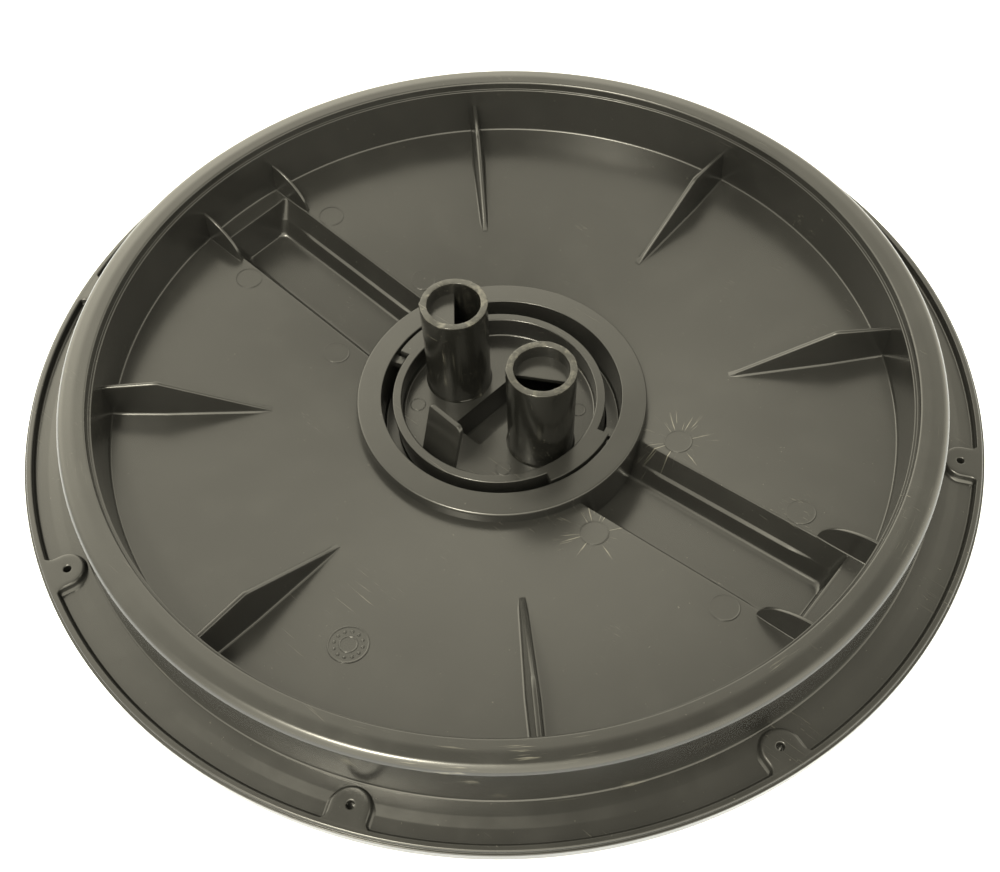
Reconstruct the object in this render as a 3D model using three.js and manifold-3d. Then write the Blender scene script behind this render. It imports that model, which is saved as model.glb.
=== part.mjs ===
// Deck of a round pressure-washer surface cleaner, lying on its back with its inside up:
// a shallow dished floor, a hollow ring wall, an outer flange with screw lugs, a trough
// across the middle for the spray bar, and a bayonet cap that turns in the hub.
// Units are millimetres. The trough runs along X, +Z points out of the open side,
// and the origin is on the centre line at the level of the face that the deck lies on.

import * as THREE from 'three';
import { mergeVertices } from 'three/addons/utils/BufferGeometryUtils.js';
import Module from 'manifold-3d';

const wasm = await Module();
wasm.setup();

// ---- Driving dimensions -------------------------------------------------------

const WALL = 3;                    // moulded wall thickness
const GAP = 0.3;                   // clearance between neighbouring pieces
const REST_DEPTH = 36.3;           // from the foot of the ring wall down to the resting face
const RING_SEGMENTS = 96;
const HUB_SEGMENTS = 72;
const TUBE_SEGMENTS = 40;

const OUTER_RADIUS = 200;          // outside of the flange lip
const LIP_WIDTH = 3.4;
const LIP_TOP = 7.2;
const BAND_TOP_INNER = 4.6;        // top of the flange band beside the ring wall
const BAND_TOP_OUTER = 4.0;        // and beside the lip

const WALL_RADIUS = 167.5;         // inside face of the ring wall
const LEDGE_HEIGHT = 24;           // step near the top of the inside face
const LEDGE_WIDTH = 1.3;
const RIM_TOP = 28.3;
const RIM_OUTER_RADIUS = 180;
const OUTER_WALL_DRAFT = 0.09;     // outward run of the outer wall for each mm down

const FLOOR_SLOPE = 0.13;          // the floor falls towards the hub
const COLLAR_OUTER_RADIUS = 64;
const COLLAR_INNER_RADIUS = 53;
const COLLAR_TOP = -8;
const SEAT_TOP = -27;              // annular seat that the cap's flange bears against

const TROUGH_DEPTH = 16.8;         // below the floor, all along
const TROUGH_FLOOR_HALF = 12;
const TROUGH_TOP_HALF = 20.5;
const TROUGH_END = 159;            // end wall of the trough at floor level
const TROUGH_END_DRAFT = 2;
const TROUGH_OVERSHOOT = 8;        // how far the cutting solids reach above the floor

const GUSSET_ANGLES = [45, 90, 135, 225, 270, 315];
const GUSSET_THICKNESS = 3.4;
const GUSSET_TIP_RADIUS = 101;
const GUSSET_KNEE_RADIUS = 144.4;
const GUSSET_HEIGHT = 15.5;
const GUSSET_TIP_HEIGHT = 1;

const FIN_OFFSET = 21.9;           // centre of each fin from the trough's centre line
const FIN_THICKNESS = 2.2;
const FIN_HEIGHT = 15;
const FIN_TIP = 145;

const LUG_COUNT = 8;
const LUG_FIRST_ANGLE = 25.3;
const LUG_WIDTH = 15;
const LUG_HOLE_CIRCLE_RADIUS = 190.3;
const LUG_HOLE_RADIUS = 1.4;

const CAP_ANGLE = -4;              // how the cap sits in its locked place, seen against the trough
const CAP_OUTER_RADIUS = 46.8;
const CAP_INNER_RADIUS = 42.8;
const CAP_FLOOR_TOP = -18.5;
const CAP_FLANGE_RADIUS = 60.7;
const CAP_FLANGE_TOP = SEAT_TOP - WALL - GAP;
const CAP_FLANGE_BOTTOM = CAP_FLANGE_TOP - WALL;
const BAYONET_LUG = { from: -22, to: 17, radius: 51.6, thickness: 4 };
const BAYONET_TAB = { from: -24, to: 11, radius: 48.3, thickness: 3.6 };
const STOP_BLOCK = { from: 14, to: 18.5, radius: 48.6, thickness: 3, drop: 3 };

const FITTING_SHIFT = { x: 0.1, y: -1.8 };   // tubes and slot, from the cap's own centre
const TUBE_OFFSET = 25.4;          // centre of each stub tube from the middle between them
const TUBE_OUTER_RADIUS = 14.4;
const TUBE_INNER_RADIUS = 11.5;
const TUBE_TOP = 31.3;
const SHELF_DEPTH = 6.7;           // from the tube's rim down to the half-moon shelf
const SHELF_THICKNESS = 2;
const SHELF_ANGLES = { left: -134, right: 123.5 };

const SLOT_HALF_WIDTH = 8.1;
const SLOT_HALF_LENGTH = 20.8;
const GRIP_WALL = 2.5;
const GRIP_BOTTOM = -36;
const GRIP_CORNER = 4;

const TONGUE = { centre: 0.8, width: 18.9, thickness: 2.2, foot: -39.7, lean: 6.7, top: 6.2 };

// ---- Materials ------------------------------------------------------------------

const PLASTIC = { roughness: 0.5, metalness: 0 };
const deckMaterial = () => new THREE.MeshStandardMaterial({ color: 0x4a4842, ...PLASTIC });
const capMaterial = () => new THREE.MeshStandardMaterial({ color: 0x403f39, ...PLASTIC });
const tubeMaterial = () => new THREE.MeshStandardMaterial({ color: 0x2b2b28, roughness: 0.45, metalness: 0 });

// ---- Helpers --------------------------------------------------------------------

const radians = THREE.MathUtils.degToRad;
const floorHeight = (radius) => -FLOOR_SLOPE * (WALL_RADIUS - radius);
const outerWallRadius = (height) => RIM_OUTER_RADIUS + (RIM_TOP - height) * OUTER_WALL_DRAFT;

// Closed triangle mesh to a solid that can be cut and joined.
function solid(geometry) {
  const bare = geometry.clone();
  bare.deleteAttribute('normal');
  bare.deleteAttribute('uv');
  const merged = mergeVertices(bare, 1e-4);
  return new wasm.Manifold(new wasm.Mesh({
    numProp: 3,
    vertProperties: new Float32Array(merged.attributes.position.array),
    triVerts: new Uint32Array(merged.index.array),
  }));
}

// Solid back to a geometry that a mesh can carry.
function toGeometry(body) {
  const mesh = body.getMesh();
  const geometry = new THREE.BufferGeometry();
  geometry.setAttribute('position', new THREE.BufferAttribute(new Float32Array(mesh.vertProperties), 3));
  geometry.setIndex(new THREE.BufferAttribute(new Uint32Array(mesh.triVerts), 1));
  geometry.computeVertexNormals();
  return geometry;
}

// Solid of revolution about Z from a closed outline of [radius, height] points,
// listed so that the outside faces climb.
function turned(outline, segments) {
  const points = outline.map(([radius, height]) => new THREE.Vector2(radius, height));
  const onAxis = points[0].x === 0 && points[points.length - 1].x === 0;
  if (!onAxis) {
    points.push(points[0].clone());
  }
  return new THREE.LatheGeometry(points, segments).rotateX(Math.PI / 2);
}

// Upright plate: an outline of [along, height] points in the XZ plane, centred on y = 0.
function plate(outline, thickness) {
  const shape = new THREE.Shape(outline.map(([x, z]) => new THREE.Vector2(x, z)));
  return new THREE.ExtrudeGeometry(shape, { depth: thickness, bevelEnabled: false })
    .rotateX(Math.PI / 2)
    .translate(0, thickness / 2, 0);
}

// Flat slab: an outline shape in the XY plane between two heights.
function slab(shape, bottom, top, curveSegments = 12) {
  return new THREE.ExtrudeGeometry(shape, { depth: top - bottom, bevelEnabled: false, curveSegments })
    .translate(0, 0, bottom);
}

// Sector of a ring between two angles in degrees.
function sector(innerRadius, outerRadius, fromAngle, toAngle, bottom, top) {
  const shape = new THREE.Shape();
  shape.absarc(0, 0, outerRadius, radians(fromAngle), radians(toAngle), false);
  shape.absarc(0, 0, innerRadius, radians(toAngle), radians(fromAngle), true);
  return slab(shape, bottom, top);
}

function upright(radius, bottom, top, segments) {
  return new THREE.CylinderGeometry(radius, radius, top - bottom, segments)
    .rotateX(Math.PI / 2)
    .translate(0, 0, (top + bottom) / 2);
}

function roundedRectangle(halfX, halfY, radius) {
  const shape = new THREE.Shape();
  shape.moveTo(halfX, -halfY + radius);
  shape.lineTo(halfX, halfY - radius);
  shape.absarc(halfX - radius, halfY - radius, radius, 0, Math.PI / 2, false);
  shape.absarc(-halfX + radius, halfY - radius, radius, Math.PI / 2, Math.PI, false);
  shape.absarc(-halfX + radius, -halfY + radius, radius, Math.PI, Math.PI * 1.5, false);
  shape.absarc(halfX - radius, -halfY + radius, radius, Math.PI * 1.5, Math.PI * 2, false);
  return shape;
}

const deck = new THREE.Group();
deck.position.z = REST_DEPTH;

function addPiece(parent, name, geometry, material, angle = 0) {
  const piece = new THREE.Mesh(geometry, material);
  piece.name = name;
  piece.rotation.z = radians(angle);
  parent.add(piece);
  return piece;
}

// ---- Ring wall: a hollow rim, open underneath -----------------------------------

function rimRing() {
  const footHeight = BAND_TOP_INNER - WALL;
  const ledgeRadius = WALL_RADIUS + LEDGE_WIDTH;
  const rounding = 3;
  const edge = 1;
  return turned([
    [outerWallRadius(footHeight), footHeight],
    [outerWallRadius(RIM_TOP - rounding), RIM_TOP - rounding],
    [RIM_OUTER_RADIUS - edge, RIM_TOP - edge],
    [RIM_OUTER_RADIUS - rounding, RIM_TOP],
    [ledgeRadius + edge, RIM_TOP],
    [ledgeRadius, RIM_TOP - edge],
    [ledgeRadius, LEDGE_HEIGHT],
    [WALL_RADIUS, LEDGE_HEIGHT],
    [WALL_RADIUS, -WALL],
    [WALL_RADIUS + WALL, -WALL],
    [WALL_RADIUS + WALL, RIM_TOP - WALL],
    [RIM_OUTER_RADIUS - WALL, RIM_TOP - WALL],
    [outerWallRadius(footHeight) - WALL, footHeight],
  ], RING_SEGMENTS);
}

addPiece(deck, 'rim_ring', rimRing(), deckMaterial());

// ---- Flange with its lip, and the screw lugs ---------------------------------------

const lipInner = OUTER_RADIUS - LIP_WIDTH;
const bandInner = outerWallRadius(BAND_TOP_INNER - WALL) + GAP;

function screwHole() {
  return solid(upright(LUG_HOLE_RADIUS, -WALL, LIP_TOP + WALL, 12).translate(LUG_HOLE_CIRCLE_RADIUS, 0, 0));
}

function flange() {
  const edge = 0.8;
  const lip = turned([
    [bandInner, BAND_TOP_INNER - WALL],
    [lipInner, BAND_TOP_OUTER - WALL],
    [OUTER_RADIUS, BAND_TOP_OUTER - WALL],
    [OUTER_RADIUS, LIP_TOP - edge],
    [OUTER_RADIUS - edge, LIP_TOP],
    [lipInner + edge, LIP_TOP],
    [lipInner, LIP_TOP - edge],
    [lipInner, BAND_TOP_OUTER],
    [bandInner, BAND_TOP_INNER],
  ], RING_SEGMENTS);
  let body = solid(lip);
  for (let i = 0; i < LUG_COUNT; i += 1) {
    const angle = LUG_FIRST_ANGLE + (i * 360) / LUG_COUNT;
    body = body.subtract(screwHole().rotate([0, 0, angle]));
  }
  return toGeometry(body);
}

// A tongue-shaped pad that runs in from the lip to a round end around its pilot hole.
function screwLug() {
  const half = LUG_WIDTH / 2;
  const roundCentre = LUG_HOLE_CIRCLE_RADIUS + 1;
  const outerEdge = Math.sqrt((lipInner - 2 * GAP) ** 2 - half ** 2);
  const shape = new THREE.Shape();
  shape.moveTo(roundCentre, half);
  shape.absarc(roundCentre, 0, half, Math.PI / 2, Math.PI * 1.5, false);
  shape.lineTo(outerEdge, -half);
  shape.lineTo(outerEdge, half);
  const pad = solid(slab(shape, BAND_TOP_INNER + GAP, LIP_TOP));
  return toGeometry(pad.subtract(screwHole()));
}

addPiece(deck, 'skirt_flange', flange(), deckMaterial());
for (let i = 0; i < LUG_COUNT; i += 1) {
  addPiece(deck, `screw_lug_${i + 1}`, screwLug(), deckMaterial(), LUG_FIRST_ANGLE + (i * 360) / LUG_COUNT);
}

// ---- Floor and trough ---------------------------------------------------------------

const floorInner = COLLAR_OUTER_RADIUS + GAP;
const floorOuter = WALL_RADIUS - GAP;

// A straight-sided trench along +X. Its corners are `grow` outside the trench's inside faces.
function trench(grow, below) {
  const sideSlope = (TROUGH_TOP_HALF - TROUGH_FLOOR_HALF) / TROUGH_DEPTH;
  const endSlope = TROUGH_END_DRAFT / TROUGH_DEPTH;
  const sideGrow = grow * Math.hypot(1, sideSlope);
  const geometry = new THREE.BoxGeometry(1, 1, 1);
  const corners = geometry.attributes.position;
  for (let i = 0; i < corners.count; i += 1) {
    const rise = corners.getZ(i) > 0 ? TROUGH_DEPTH + TROUGH_OVERSHOOT : -below;
    const side = Math.sign(corners.getY(i));
    const farEnd = corners.getX(i) > 0;
    const x = farEnd ? TROUGH_END - endSlope * (TROUGH_DEPTH - rise) + grow : floorInner / 2;
    const y = side * (TROUGH_FLOOR_HALF + sideSlope * rise + sideGrow);
    corners.setXYZ(i, x, y, floorHeight(x) - TROUGH_DEPTH + rise);
  }
  return solid(geometry);
}

// Everything under the floor's upper face, between the hub and the ring wall.
function underFloor(depth) {
  return solid(turned([
    [floorOuter, floorHeight(floorOuter) - depth],
    [floorOuter, floorHeight(floorOuter)],
    [floorInner, floorHeight(floorInner)],
    [floorInner, floorHeight(floorInner) - depth],
  ], RING_SEGMENTS));
}

function floorDisc() {
  const cut = trench(WALL + GAP, WALL + GAP);
  return toGeometry(underFloor(WALL).subtract(cut).subtract(cut.rotate([0, 0, 180])));
}

function troughChannel() {
  const shell = trench(WALL, WALL).subtract(trench(0, 0));
  return toGeometry(shell.intersect(underFloor(TROUGH_DEPTH * 2)));
}

addPiece(deck, 'floor_disc', floorDisc(), deckMaterial());
addPiece(deck, 'trough_right', troughChannel(), deckMaterial());
addPiece(deck, 'trough_left', troughChannel(), deckMaterial(), 180);

// ---- Gussets and trough fins ------------------------------------------------------------

function gusset() {
  const foot = (radius) => floorHeight(radius) + GAP;
  return plate([
    [GUSSET_TIP_RADIUS, foot(GUSSET_TIP_RADIUS)],
    [floorOuter, foot(floorOuter)],
    [floorOuter, GUSSET_HEIGHT],
    [GUSSET_KNEE_RADIUS, GUSSET_HEIGHT],
    [GUSSET_TIP_RADIUS, foot(GUSSET_TIP_RADIUS) + GUSSET_TIP_HEIGHT],
  ], GUSSET_THICKNESS);
}

GUSSET_ANGLES.forEach((angle, i) => {
  addPiece(deck, `gusset_${i + 1}`, gusset(), deckMaterial(), angle);
});

// The fin's upper edge is a quarter of an ellipse from its tip up to the ring wall.
function troughFin() {
  const wallEnd = Math.sqrt(floorOuter ** 2 - (FIN_OFFSET + FIN_THICKNESS / 2) ** 2);
  const foot = (x) => floorHeight(Math.hypot(x, FIN_OFFSET)) + GAP;
  const steps = 8;
  const outline = [[FIN_TIP, foot(FIN_TIP)], [wallEnd, foot(wallEnd)]];
  for (let i = 0; i < steps; i += 1) {
    const turn = (Math.PI / 2) * (1 - i / steps);
    const x = wallEnd - (wallEnd - FIN_TIP) * Math.cos(turn);
    outline.push([x, foot(x) + FIN_HEIGHT * Math.sin(turn)]);
  }
  return plate(outline, FIN_THICKNESS);
}

[[0, 1], [0, -1], [180, 1], [180, -1]].forEach(([angle, side], i) => {
  const fin = troughFin().translate(0, side * FIN_OFFSET, 0);
  addPiece(deck, `trough_fin_${i + 1}`, fin, deckMaterial(), angle);
});

// ---- Hub collar ---------------------------------------------------------------------------

function hubCollar() {
  const edge = 0.8;
  const seatInner = CAP_OUTER_RADIUS + GAP;
  const section = [
    [COLLAR_OUTER_RADIUS, -REST_DEPTH],
    [COLLAR_OUTER_RADIUS, COLLAR_TOP - edge],
    [COLLAR_OUTER_RADIUS - edge, COLLAR_TOP],
    [COLLAR_INNER_RADIUS + edge, COLLAR_TOP],
    [COLLAR_INNER_RADIUS, COLLAR_TOP - edge],
    [COLLAR_INNER_RADIUS, SEAT_TOP],
    [seatInner, SEAT_TOP],
    [seatInner, SEAT_TOP - WALL],
    [COLLAR_INNER_RADIUS + WALL, SEAT_TOP - WALL],
    [COLLAR_INNER_RADIUS + WALL, COLLAR_TOP - WALL],
    [COLLAR_OUTER_RADIUS - WALL, COLLAR_TOP - WALL],
    [COLLAR_OUTER_RADIUS - WALL, -REST_DEPTH],
  ];
  const root = COLLAR_INNER_RADIUS + WALL / 2;
  const lugBottom = COLLAR_TOP - BAYONET_LUG.thickness;
  const tabTop = lugBottom - 2 * GAP;
  const tab = solid(sector(BAYONET_TAB.radius, root, BAYONET_TAB.from, BAYONET_TAB.to,
    tabTop - BAYONET_TAB.thickness, tabTop));
  const stop = solid(sector(STOP_BLOCK.radius, root, STOP_BLOCK.from, STOP_BLOCK.to,
    COLLAR_TOP - STOP_BLOCK.drop - STOP_BLOCK.thickness, COLLAR_TOP - STOP_BLOCK.drop));
  let body = solid(turned(section, HUB_SEGMENTS));
  for (const turn of [0, 180]) {
    body = body.add(tab.rotate([0, 0, turn])).add(stop.rotate([0, 0, turn]));
  }
  return toGeometry(body);
}

addPiece(deck, 'hub_collar', hubCollar(), deckMaterial());

// ---- Bayonet cap, with its grip, stub tubes and latch tongue ------------------------------

const cap = new THREE.Group();
cap.rotation.z = radians(CAP_ANGLE);
deck.add(cap);

function lockCap() {
  const edge = 0.6;
  const recessRadius = CAP_INNER_RADIUS + 1;
  const section = [
    [0, CAP_FLOOR_TOP - WALL],
    [recessRadius, CAP_FLOOR_TOP - WALL],
    [recessRadius, CAP_FLANGE_BOTTOM],
    [CAP_FLANGE_RADIUS, CAP_FLANGE_BOTTOM],
    [CAP_FLANGE_RADIUS, CAP_FLANGE_TOP],
    [CAP_OUTER_RADIUS, CAP_FLANGE_TOP],
    [CAP_OUTER_RADIUS, COLLAR_TOP - edge],
    [CAP_OUTER_RADIUS - edge, COLLAR_TOP],
    [CAP_INNER_RADIUS + edge, COLLAR_TOP],
    [CAP_INNER_RADIUS, COLLAR_TOP - edge],
    [CAP_INNER_RADIUS, CAP_FLOOR_TOP],
    [0, CAP_FLOOR_TOP],
  ];
  const root = (CAP_INNER_RADIUS + CAP_OUTER_RADIUS) / 2;
  const lug = solid(sector(root, BAYONET_LUG.radius, BAYONET_LUG.from, BAYONET_LUG.to,
    COLLAR_TOP - BAYONET_LUG.thickness, COLLAR_TOP - edge));
  const bore = solid(upright(TUBE_INNER_RADIUS, CAP_FLOOR_TOP - 2 * WALL, CAP_FLOOR_TOP + WALL, TUBE_SEGMENTS)
    .translate(FITTING_SHIFT.x, FITTING_SHIFT.y, 0));
  const slot = solid(slab(roundedRectangle(SLOT_HALF_WIDTH, SLOT_HALF_LENGTH, 1),
    CAP_FLOOR_TOP - 2 * WALL, CAP_FLOOR_TOP + WALL, 3).translate(FITTING_SHIFT.x, FITTING_SHIFT.y, 0));
  let body = solid(turned(section, HUB_SEGMENTS)).subtract(slot);
  for (const [side, turn] of [[1, 0], [-1, 180]]) {
    body = body.add(lug.rotate([0, 0, turn])).subtract(bore.translate([side * TUBE_OFFSET, 0, 0]));
  }
  return toGeometry(body);
}

// Bar across the recess underneath, hollow from the inside of the cap.
function gripBar() {
  const top = CAP_FLOOR_TOP - WALL - GAP;
  const outside = roundedRectangle(SLOT_HALF_WIDTH + GRIP_WALL, SLOT_HALF_LENGTH + GRIP_WALL, GRIP_CORNER);
  const inside = roundedRectangle(SLOT_HALF_WIDTH, SLOT_HALF_LENGTH, GRIP_CORNER - GRIP_WALL);
  const bar = solid(slab(outside, GRIP_BOTTOM, top, 5));
  return toGeometry(bar.subtract(solid(slab(inside, GRIP_BOTTOM + GRIP_WALL, top + WALL, 5))));
}

function stubTube() {
  const foot = CAP_FLOOR_TOP + GAP;
  return turned([
    [TUBE_OUTER_RADIUS, foot],
    [TUBE_OUTER_RADIUS, TUBE_TOP],
    [TUBE_INNER_RADIUS, TUBE_TOP],
    [TUBE_INNER_RADIUS, foot],
  ], TUBE_SEGMENTS);
}

// Half-moon shelf that closes half of a tube's bore, below its rim.
function tubeShelf() {
  const radius = TUBE_INNER_RADIUS - GAP;
  const shape = new THREE.Shape();
  shape.absarc(0, 0, radius, -Math.PI / 2, Math.PI / 2, false);
  const top = TUBE_TOP - SHELF_DEPTH;
  return slab(shape, top - SHELF_THICKNESS, top, TUBE_SEGMENTS / 2);
}

// Spring tongue: a plate that stands up from the cap's floor and leans towards the centre.
function latchTongue() {
  const foot = CAP_FLOOR_TOP + GAP;
  const half = TONGUE.thickness / 2;
  const geometry = new THREE.BoxGeometry(TONGUE.width, TONGUE.thickness, TONGUE.top - foot, 1, 1, 1);
  geometry.translate(TONGUE.centre, TONGUE.foot, (TONGUE.top + foot) / 2);
  const corners = geometry.attributes.position;
  for (let i = 0; i < corners.count; i += 1) {
    if (corners.getZ(i) > foot + half) {
      corners.setY(i, corners.getY(i) + TONGUE.lean);
    }
  }
  return geometry;
}

addPiece(cap, 'lock_cap', lockCap(), capMaterial());
const grip = addPiece(cap, 'grip_bar', gripBar(), capMaterial());
grip.position.set(FITTING_SHIFT.x, FITTING_SHIFT.y, 0);
for (const [side, label] of [[-1, 'left'], [1, 'right']]) {
  const tube = addPiece(cap, `stub_tube_${label}`, stubTube(), tubeMaterial());
  const shelf = addPiece(cap, `tube_shelf_${label}`, tubeShelf(), capMaterial(), SHELF_ANGLES[label]);
  for (const piece of [tube, shelf]) {
    piece.position.set(FITTING_SHIFT.x + side * TUBE_OFFSET, FITTING_SHIFT.y, 0);
  }
}
addPiece(cap, 'latch_tongue', latchTongue(), capMaterial());

export default deck;
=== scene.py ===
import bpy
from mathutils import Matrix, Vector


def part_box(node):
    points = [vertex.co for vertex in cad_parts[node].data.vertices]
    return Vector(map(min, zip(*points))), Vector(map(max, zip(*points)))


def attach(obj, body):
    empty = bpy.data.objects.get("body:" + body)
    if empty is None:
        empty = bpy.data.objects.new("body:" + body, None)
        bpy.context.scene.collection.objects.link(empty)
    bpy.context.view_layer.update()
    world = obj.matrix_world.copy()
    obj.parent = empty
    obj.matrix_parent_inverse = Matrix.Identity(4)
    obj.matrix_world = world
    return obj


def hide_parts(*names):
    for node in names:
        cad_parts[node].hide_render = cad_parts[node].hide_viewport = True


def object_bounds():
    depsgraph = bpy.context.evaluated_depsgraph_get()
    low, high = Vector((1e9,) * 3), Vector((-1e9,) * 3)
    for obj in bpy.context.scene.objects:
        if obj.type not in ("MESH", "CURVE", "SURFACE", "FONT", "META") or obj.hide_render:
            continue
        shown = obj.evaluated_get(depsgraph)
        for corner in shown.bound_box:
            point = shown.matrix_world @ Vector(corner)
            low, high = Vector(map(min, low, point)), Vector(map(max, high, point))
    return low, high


bl_info = {
    "name": "Surface cleaner deck",
    "version": (1, 0, 0),
    "blender": (4, 5, 0),
    "location": "View3D > Sidebar > Surface cleaner",
    "description": "Builds the finished deck of a surface cleaner around its CAD frame",
    "category": "Object",
}

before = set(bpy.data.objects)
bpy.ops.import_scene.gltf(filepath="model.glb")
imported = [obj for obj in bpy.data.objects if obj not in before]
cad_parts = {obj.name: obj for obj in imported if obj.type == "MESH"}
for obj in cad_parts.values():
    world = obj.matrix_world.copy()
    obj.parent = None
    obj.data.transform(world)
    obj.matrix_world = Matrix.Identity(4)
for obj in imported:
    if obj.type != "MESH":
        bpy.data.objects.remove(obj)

import math

import bmesh
import bpy
from bpy.props import FloatProperty, FloatVectorProperty, IntProperty, PointerProperty
from mathutils import Matrix, Vector, noise

CAD_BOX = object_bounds()
MM = 0.001

# ---- Sizes taken from the frame, in millimetres -----------------------------------
# Heights are measured from the datum, the corner where the floor meets the ring wall.

WALL = 3.0
GAP = 0.3
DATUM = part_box("rim_ring")[0].z / MM + WALL


def top_of(node):
    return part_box(node)[1].z / MM - DATUM


def bottom_of(node):
    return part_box(node)[0].z / MM - DATUM


def radius_of(node):
    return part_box(node)[1].x / MM


def centre_of(node):
    low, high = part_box(node)
    return Vector((low.x + high.x, low.y + high.y)) / 2 / MM


RIM_TOP = top_of("rim_ring")
WALL_RADIUS = radius_of("floor_disc") + GAP
FLANGE_RADIUS = radius_of("skirt_flange")
FLANGE_BOTTOM = bottom_of("skirt_flange")
LIP_TOP = top_of("skirt_flange")
COLLAR_RADIUS = radius_of("hub_collar")
COLLAR_TOP = top_of("hub_collar")
COLLAR_BOTTOM = bottom_of("hub_collar")
CAP_FLANGE_RADIUS = radius_of("lock_cap")
CAP_BOTTOM = bottom_of("lock_cap")
TUBE_TOP = top_of("stub_tube_right")
TUBE_RADIUS = (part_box("stub_tube_right")[1].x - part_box("stub_tube_right")[0].x) / 2 / MM
TUBE_CENTRE = {label: centre_of(f"stub_tube_{label}") for label in ("left", "right")}
FITTING_CENTRE = (TUBE_CENTRE["left"] + TUBE_CENTRE["right"]) / 2
TUBE_LINE = TUBE_CENTRE["right"] - TUBE_CENTRE["left"]
CAP_ANGLE = math.degrees(math.atan2(TUBE_LINE.y, TUBE_LINE.x))
GRIP_BOTTOM = bottom_of("grip_bar")

# ---- Sizes of the moulding's own details -----------------------------------------

FLOOR_SLOPE = 0.13
LEDGE_HEIGHT = 24.0
LEDGE_WIDTH = 1.3
OUTER_WALL_DRAFT = 0.09
RIM_OUTER_RADIUS = 180.0
BAND_TOP_INNER = 4.6
BAND_TOP_OUTER = 4.0
LIP_WIDTH = 3.4
COLLAR_INNER_RADIUS = 53.0
SEAT_TOP = -27.0
TROUGH_TOP_HALF = 20.5
TROUGH_END = 159.0
TROUGH_MARGIN = 1.2
COLLAR_OVERLAP = 1.5
CAP_OUTER_RADIUS = 46.8
CAP_INNER_RADIUS = 42.8
CAP_FLOOR_TOP = -18.5
SLOT_HALF = (8.1, 20.8)
GRIP_WALL = 2.5
TUBE_INNER_RADIUS = 11.5
SHELF_ANGLES = {"right": 119.5, "left": -138}
TONGUE_CENTRE = 0.8
TONGUE_WIDTH = 18.9
TONGUE_THICKNESS = 2.2
TONGUE_FOOT = -39.7
TONGUE_LEAN = 6.7
GUSSET_ANGLES = (45, 90, 135, 225, 270, 315)
GUSSET_KNEE_RADIUS = 144.4
TIP_HEIGHT = 0.3
FIN_RISE = 14.6
LUG_FIRST_ANGLE = 25.3
LUG_COUNT = 8
LUG_HOLE_CIRCLE = 190.3
LUG_HOLE_RADIUS = 1.4
LUG_ROUND_CENTRE = 0.8

# Blocks of the bayonet, the same on both sides of the hub: inner and outer radius, first and
# last angle in degrees, and how far the foot and the top lie below the collar's top.
STOP_BLOCK = (48.6, 54.5, 14, 18.5, 6.0, 3.0)
HOLDING_TAB = (48.3, 54.5, -24, 11, 8.2, 4.6)
BAYONET_LUG = (44.8, 51.6, -26, 13, 4.0, -0.01)

EJECTOR_CIRCLE = 80.0
EJECTOR_ANGLE = 21.5
OUTER_EJECTOR_CIRCLE = 137
OUTER_EJECTOR_ANGLE = 11.5
EJECTOR_LEVELS = [(6.0, -0.5), (6.0, 0.1), (5.85, 0.22), (5.5, 0.22), (5.3, 0.06)]
CAP_EJECTOR_PLACES = ((37.7, -140.8), (34.1, 35.2), (34.2, -48.8))
CAP_EJECTOR_LEVELS = [(3.5, -0.5), (3.5, 0.1), (3.4, 0.22), (3.1, 0.22), (2.95, 0.06)]

DIAL_CIRCLE = 134.2
DIAL_ANGLE = -74.7
DIAL_RING = [(8.0, -0.5), (8.0, 0.15), (7.85, 0.3), (7.3, 0.3), (7.15, 0.08)]
DIAL_HUB = [(3.7, -0.5), (3.7, 0.15), (3.55, 0.3), (3.1, 0.3), (2.95, 0.1)]
DIAL_TICK = [(0.7, -0.5), (0.7, 0.2), (0.5, 0.35)]
TICK_COUNT = 12
TICK_CIRCLE = 5.5

# The camera's place and aim, with heights from the datum, and its roll in degrees.
CAMERA_PLACE = Vector((192.25, -213.99, 364.05))
CAMERA_AIM = Vector((19.19, -23.18, 0.0))
CAMERA_ROLL = -2.11
SENSOR_WIDTH = 36.0

# Azimuth and elevation in degrees, distance and width in metres.
OVERHEAD_DIRECTION = (-92, 66)
OVERHEAD_DISTANCE = 2.0
OVERHEAD_WIDTH = 0.4
STAGE_RADIUS = 4.0

# Pale colour mixed in for scratches, dust and rub marks, and for the painted glints on the tube walls.
WEAR_AND_GLINT_COLOUR = (0.26, 0.25, 0.21, 1.0)

RING_STEPS = 288
HUB_STEPS = 144
TUBE_STEPS = 72
SHELF_STEPS = 36
DISC_STEPS = 48
HOLE_STEPS = 32
ARC_STEPS = 7


def floor_height(radius):
    return -FLOOR_SLOPE * (WALL_RADIUS - radius)


def polar(radius, angle):
    return (radius * math.cos(math.radians(angle)), radius * math.sin(math.radians(angle)))


def outer_wall_radius(height):
    return RIM_OUTER_RADIUS + (RIM_TOP - height) * OUTER_WALL_DRAFT


def arc(centre, radius, first, last, steps):
    """Points on an arc between two angles in degrees, both ends included."""
    angles = [math.radians(first + (last - first) * k / steps) for k in range(steps + 1)]
    return [(centre[0] + radius * math.cos(a), centre[1] + radius * math.sin(a)) for a in angles]


def circle(centre, radius, steps):
    return arc(centre, radius, 0, 360, steps)[:-1]


# ---- Mesh helpers ------------------------------------------------------------------


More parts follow.
